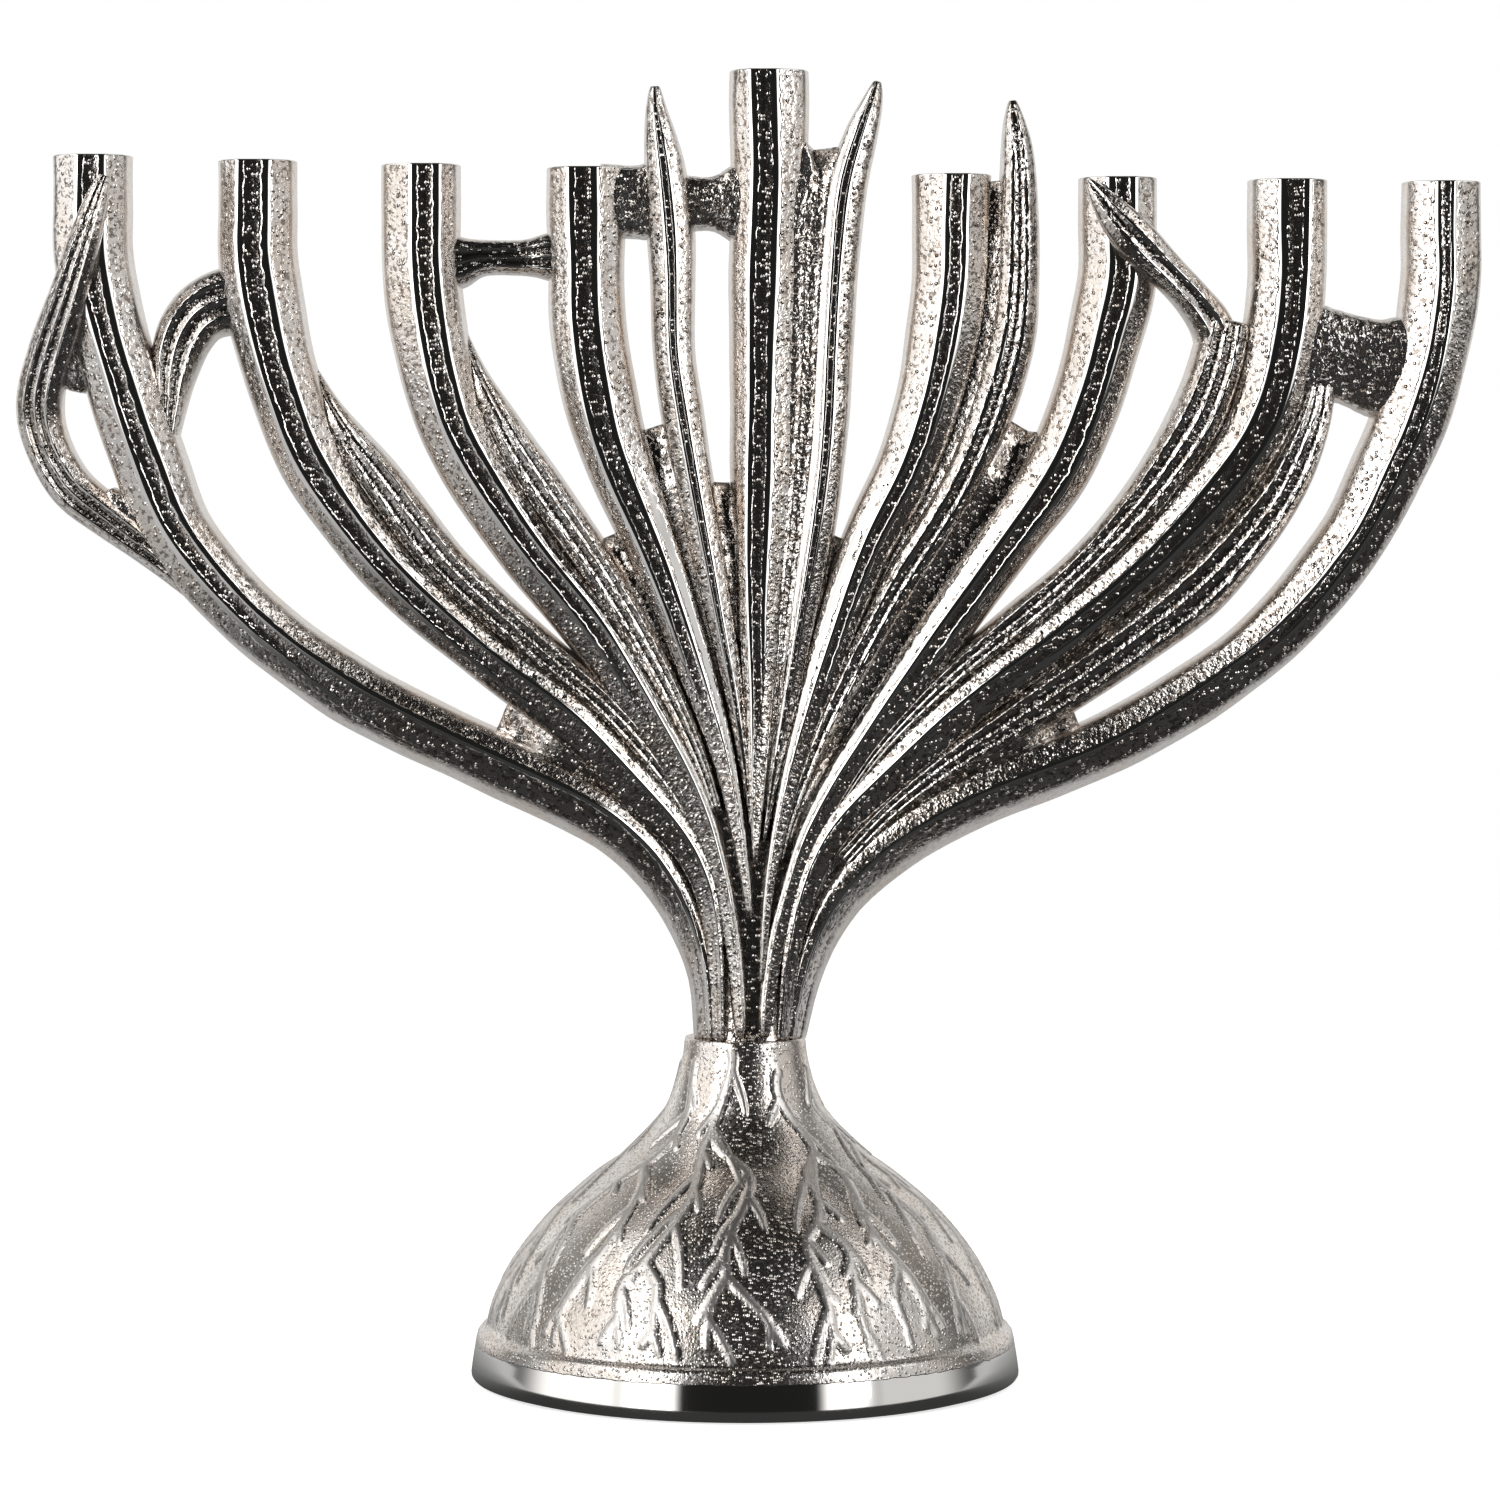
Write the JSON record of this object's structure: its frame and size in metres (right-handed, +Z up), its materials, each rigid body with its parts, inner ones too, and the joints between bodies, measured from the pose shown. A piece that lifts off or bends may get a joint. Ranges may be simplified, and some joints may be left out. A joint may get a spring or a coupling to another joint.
{
  "type": "menorah",
  "caption": "Cast-metal tree menorah: twisting branches rise from a bell-shaped base and end in candle cups, the centre one highest.",
  "frame": {"origin": "centre of the round underside that the menorah stands on", "axes": "+Z up; +X along the row of candle cups, to the right seen from the front; the front faces -Y"},
  "size_m": [0.2928, 0.1102, 0.2614],
  "materials": {
    "cast_nickel": "nickel-plated casting, pebbled sand texture with polished ridges",
    "base_nickel": "nickel-plated casting, matte pebbled texture with raised roots and a polished rim",
    "zinc_steel": "zinc-plated steel",
    "felt": "pressed felt"
  },
  "bodies": {
    "root": {"trunk": "cast_nickel", "arm_left_4": "cast_nickel", "arm_left_3": "cast_nickel", "arm_left_2": "cast_nickel", "arm_left_1": "cast_nickel", "centre_stem": "cast_nickel", "arm_right_1": "cast_nickel", "arm_right_2": "cast_nickel", "arm_right_3": "cast_nickel", "arm_right_4": "cast_nickel", "cup_left_4": "cast_nickel", "cup_left_3": "cast_nickel", "cup_left_2": "cast_nickel", "cup_left_1": "cast_nickel", "cup_centre": "cast_nickel", "cup_right_1": "cast_nickel", "cup_right_2": "cast_nickel", "cup_right_3": "cast_nickel", "cup_right_4": "cast_nickel", "ribbon_left_3": "cast_nickel", "ribbon_left_2": "cast_nickel", "spike_left": "cast_nickel", "spike_right": "cast_nickel", "spike_outer": "cast_nickel", "ribbon_right_2": "cast_nickel", "ribbon_right_3": "cast_nickel", "loop_twig": "cast_nickel", "thorn_twig": "cast_nickel", "elbow_twig": "cast_nickel", "rung": "cast_nickel", "web_left": "cast_nickel", "web_centre_left": "cast_nickel", "web_centre_right": "cast_nickel", "web_right": "cast_nickel", "base": "base_nickel", "felt_ring": "felt", "stud": "zinc_steel", "flat_washer": "zinc_steel", "spring_washer": "zinc_steel", "hex_nut": "zinc_steel"}
  },
  "joints": []
}
